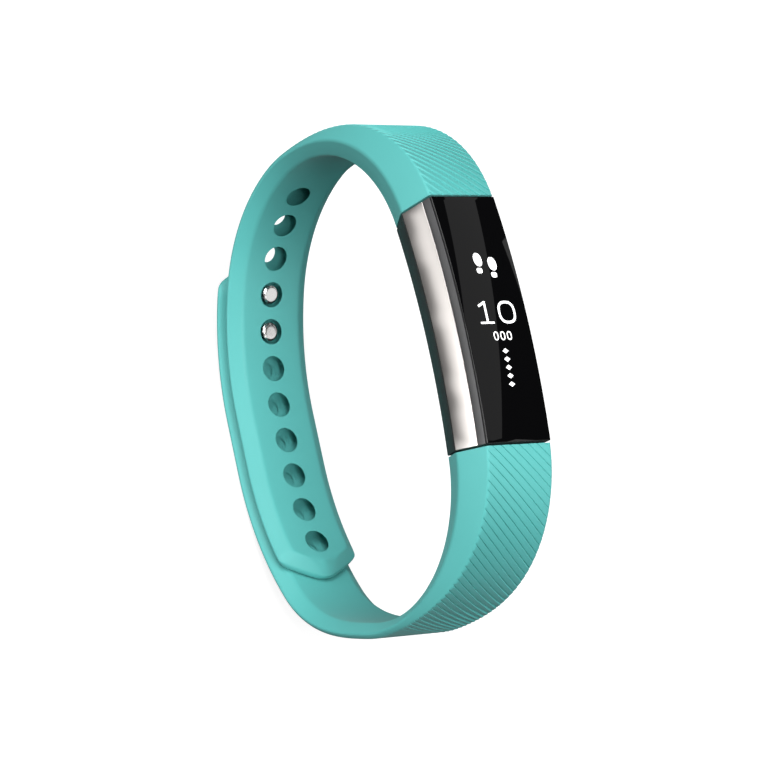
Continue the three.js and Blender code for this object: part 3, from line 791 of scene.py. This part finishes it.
base_plastic = matt_plastic("base_nylon_matt", "#2f3131", 0.5)
frame_plastic = matt_plastic("lens_frame_plastic_satin", "#4c4c4d", 0.38, 0.12, 0.12)
case_steel = brushed_stainless("case_stainless_brushed", "#dcd7d3", 0.3)
lens_glass = black_glass("lens_glass_black")

softened("base_shell", "base_cover", 0.1, base_plastic, "tracker")
softened("side_shell", "case_shell", 0.06, case_steel, "tracker")
softened("display_frame", "lens_frame", 0.06, frame_plastic, "tracker")


def tracker_half(offset):
    """Half the tracker's width at an offset outside its ridge."""
    share = (offset - ROOT_RIDGE) / (ROOT_THICKNESS - ROOT_RIDGE)
    return (RIDGE_WIDTH + (ROOT_FACE - RIDGE_WIDTH) * share) / 2


# The glass is cut in many rows, so that its reflections run evenly along the curve.
GLASS_BOTTOM = 10.0
GLASS_TOP = ROOT_THICKNESS
GLASS_EDGE = 0.08
GLASS_ROWS = 60
work = bmesh.new()
corners = [
    [work.verts.new((x * tracker_half(z), y * SEAM, z)) for x, y in ((-1, -1), (1, -1), (1, 1), (-1, 1))]
    for z in (GLASS_BOTTOM, GLASS_TOP)
]
work.faces.new(corners[0][::-1])
work.faces.new(corners[1])
for i in range(4):
    j = (i + 1) % 4
    work.faces.new((corners[0][i], corners[0][j], corners[1][j], corners[1][i]))
bmesh.ops.bevel(work, geom=work.edges[:], offset=GLASS_EDGE, segments=3, profile=0.5, affect="EDGES")
cut_rows(work, SEAM, GLASS_ROWS)
glass_mesh = mesh_from(work, "glass")
bend_onto_loop(glass_mesh, lambda flat: flat)
glass_mesh.materials.append(lens_glass)
glass = shown_piece("display_glass_lens", glass_mesh, sharp=40)
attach(glass, "tracker")
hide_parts("lens")


# ---- Display marks -----------------------------------------------------------------------------
# What the lit display shows through the glass: two footprints, the number ten, three small noughts
# and a row of five diamonds. They are white light, laid on the glass as sheets a hair thick.

def lit_white(name):
    """Light from the display: an even white that needs no lamp."""
    material, tree, shader, place = new_material(name)
    shader.inputs["Base Color"].default_value = linear("#ffffff")
    shader.inputs["Emission Color"].default_value = linear("#ffffff")
    shader.inputs["Emission Strength"].default_value = 1.0
    shader.inputs["Roughness"].default_value = 0.4
    return material


MARK_TOP = 10.315
MARK_BOTTOM = 10.28


def lit_mark(work, outline):
    """One closed patch on the glass, from points of across and along the tracker."""
    low = [work.verts.new((x, y, MARK_BOTTOM)) for x, y in outline]
    high = [work.verts.new((x, y, MARK_TOP)) for x, y in outline]
    count = len(outline)
    work.faces.new(high)
    work.faces.new(low[::-1])
    for i in range(count):
        j = (i + 1) % count
        work.faces.new((low[i], low[j], high[j], high[i]))


def oval(centre, width, height, lean=0.0, power=2.0, count=24):
    """Points round an oval, squarer with a higher power, leaning sideways by a share."""
    points = []
    for i in range(count):
        angle = 2 * math.pi * i / count
        cosine, sine = math.cos(angle), math.sin(angle)
        x = math.copysign(abs(cosine) ** (2 / power), cosine) * width / 2
        y = math.copysign(abs(sine) ** (2 / power), sine) * height / 2
        points.append((centre[0] + x + lean * y, centre[1] + y))
    return points


def lit_ring(work, centre, width, height, stroke, power=2.6, count=32):
    """The figure nought, as a ring of short patches."""
    outer = oval(centre, width, height, 0.0, power, count)
    inner = oval(centre, width - 2 * stroke, height - 2 * stroke, 0.0, power, count)
    low = [[work.verts.new((x, y, MARK_BOTTOM)) for x, y in loop] for loop in (outer, inner)]
    high = [[work.verts.new((x, y, MARK_TOP)) for x, y in loop] for loop in (outer, inner)]
    for i in range(count):
        j = (i + 1) % count
        work.faces.new((high[0][i], high[0][j], high[1][j], high[1][i]))
        work.faces.new((low[0][j], low[0][i], low[1][i], low[1][j]))
        work.faces.new((low[0][i], low[0][j], high[0][j], high[0][i]))
        work.faces.new((low[1][j], low[1][i], high[1][i], high[1][j]))


FOOTPRINTS = ((-0.76, 7.97), (1.7, 7.35))
FIGURE_ONE = [
    (-1.85, -1.1), (-1.49, -1.1), (-1.45, 1.95), (-1.75, 1.95),
    (-2.85, 1.42), (-2.7, 1.13), (-1.8, 1.55),
]
FIGURE_ONE_FOOT = [(-2.95, -1.22), (-0.5, -1.22), (-0.5, -0.95), (-2.95, -0.95)]
NOUGHTS = (-0.75, 0.45, 1.65)
DIAMOND_COUNT = 5
DIAMOND_PITCH = 1.15
FIRST_DIAMOND = (0.38, -5.07)

marks = bmesh.new()
for across, along in FOOTPRINTS:
    lit_mark(marks, oval((across, along), 1.45, 1.95, -0.06, 2.2))
    lit_mark(marks, oval((across - 0.14, along - 1.6), 1.0, 0.78, 0.0, 3.0))
lit_mark(marks, FIGURE_ONE)
lit_mark(marks, FIGURE_ONE_FOOT)
lit_ring(marks, (2.15, 0.36), 3.1, 3.2, 0.34)
for across in NOUGHTS:
    lit_ring(marks, (across, -2.95), 0.86, 1.25, 0.16, 2.4, 20)
for place in range(DIAMOND_COUNT):
    x, y = FIRST_DIAMOND[0], FIRST_DIAMOND[1] - DIAMOND_PITCH * place
    lit_mark(marks, [(x + 0.55, y), (x, y + 0.36), (x - 0.55, y), (x, y - 0.36)])
marks_mesh = mesh_from(marks, "lit_marks")
bend_onto_loop(marks_mesh, lambda flat: flat)
marks_mesh.materials.append(lit_white("display_light_white"))
lit_marks = shown_piece("lit_marks", marks_mesh, sharp=30)
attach(lit_marks, "tracker")


# ---- Latches, contacts and inner parts ---------------------------------------------------------
# Small parts that keep their plain shapes: each gets only its own finish.

seal_rubber = matt_plastic("silicone_seal_black", "#161616", 0.8)
for end in ("upper", "lower"):
    softened(f"{end}_latch_housing", f"{end}_latch_frame", 0.12, base_plastic, "band")
    softened(
        f"{end}_latch_press_button", f"{end}_latch_button", 0.18,
        polished_steel, f"{end}_button",
    )


def dress(node, material):
    """Gives a part that keeps its shape its finish."""
    mesh = nodes[node].data
    mesh.materials.clear()
    mesh.materials.append(material)


gold = polished_stainless("contact_gold_plated", "#cba45c", 0.2)
board_green = matt_plastic("circuit_board_solder_mask", "#1d4a35", 0.4)
foil = brushed_stainless("battery_pouch_foil", "#b9bbbd", 0.35)
chip_black = matt_plastic("chip_epoxy_black", "#1c1c1e", 0.55)
for node, material in {
    "charge_contact_1": gold, "charge_contact_2": gold, "charge_contact_3": gold,
    "seal_ring": seal_rubber, "display_panel": lens_glass, "battery": foil,
    "main_board": board_green, "processor": chip_black, "motion_sensor": chip_black,
    "vibration_motor": case_steel, "upper_latch_spring": polished_steel,
    "lower_latch_spring": polished_steel,
}.items():
    dress(node, material)


# ---- Floor, light and camera -------------------------------------------------------------------
# A plain pale floor under the band, large soft boxes, and the camera.

floor_mesh = bpy.data.meshes.new("floor")
floor_mesh.from_pydata([(-3, -3, 0), (3, -3, 0), (3, 3, 0), (-3, 3, 0)], [], [(0, 1, 2, 3)])
floor = put_in_scene("floor", floor_mesh)
floor_paint, tree, shader, place = new_material("floor_white_matt")
shader.inputs["Roughness"].default_value = 1.0
shader.inputs["Specular IOR Level"].default_value = 0.0
shader.inputs["Emission Color"].default_value = (1, 1, 1, 1)
# The floor looks white, and yet throws little light up at the band.
camera_ray = add_node(tree, "ShaderNodeLightPath").outputs["Is Camera Ray"]
shade = add_node(tree, "ShaderNodeMapRange", {"Value": camera_ray, "To Min": 0.03, "To Max": 0.35})
tree.links.new(shade.outputs["Result"], shader.inputs["Base Color"])
glow = add_node(tree, "ShaderNodeMath", {0: camera_ray, 1: 0.82}, operation="MULTIPLY")
tree.links.new(glow.outputs[0], shader.inputs["Emission Strength"])
floor_mesh.materials.append(floor_paint)

world = bpy.data.worlds.new("studio")
world.use_nodes = True
world.node_tree.nodes["Background"].inputs["Color"].default_value = (1, 1, 1, 1)
world.node_tree.nodes["Background"].inputs["Strength"].default_value = 0.02
bpy.context.scene.world = world


def soft_box(name, target, towards, distance, size, power, edge=None):
    """A square area light that faces a point, with one of its edges turned along a direction."""
    back = Vector(towards).normalized()
    along = Vector(edge) if edge else Vector((-back.y, back.x, 0))
    along = (along - back * along.dot(back)).normalized()
    up = back.cross(along)
    light = bpy.data.lights.new(name, "AREA")
    light.shape = "RECTANGLE"
    light.size, light.size_y = size
    light.energy = power
    lamp = put_in_scene(name, light)
    facing = Matrix((along, up, back)).transposed().to_4x4()
    lamp.matrix_world = Matrix.Translation(Vector(target) + back * distance) @ facing
    lamp.visible_camera = False


BAND_CENTRE = (0, 0, 0.03)
soft_box("key_box", BAND_CENTRE, (-0.5, 0.5, 0.71), 1.1, (0.55, 0.55), 6.0)
soft_box("front_box", BAND_CENTRE, (-0.18, -0.18, 0.97), 1.1, (0.55, 0.55), 8.0)
soft_box("side_box", BAND_CENTRE, (-0.97, 0.0, 0.26), 1.1, (0.55, 0.55), 4.5)
soft_box("low_box", BAND_CENTRE, (0.0, -0.71, 0.71), 1.1, (0.55, 0.55), 2.5)
soft_box("back_box", BAND_CENTRE, (0.9, 0.1, 0.4), 1.1, (0.7, 0.45), 0.6)
soft_box(
    "glass_card", (-0.044, 0.0312, 0.0888), (0.614, 0.255, 0.747), 0.5, (0.5, 0.12), 0.078,
    edge=(0.258, 0.829, -0.496),
)
soft_box("steel_card", (-0.007, 0, 0.058), (-0.928, 0.242, -0.286), 0.17, (0.2, 0.13), 0.09)
soft_box("peg_card", (0, 0, 0.01), (0.585, -0.476, 0.646), 0.72, (0.45, 0.45), 0.6)

# The camera's right and down, and its place.
RIGHT = Vector((0.81047215, -0.21059594, 0.5466116))
DOWN = Vector((-0.03076863, -0.94715591, -0.31929448))
CAMERA_PLACE = Vector((-0.2772979, -0.1152300, 0.4003352))
camera_data = bpy.data.cameras.new("camera")
camera_data.sensor_width = 36.0
camera_data.lens = 146.675
camera = put_in_scene("camera", camera_data)
turn = Matrix((RIGHT, -DOWN, -RIGHT.cross(DOWN))).transposed().to_4x4()
turn.translation = CAMERA_PLACE
camera.matrix_world = turn
bpy.context.scene.camera = camera
bpy.context.scene.view_settings.view_transform = "Standard"
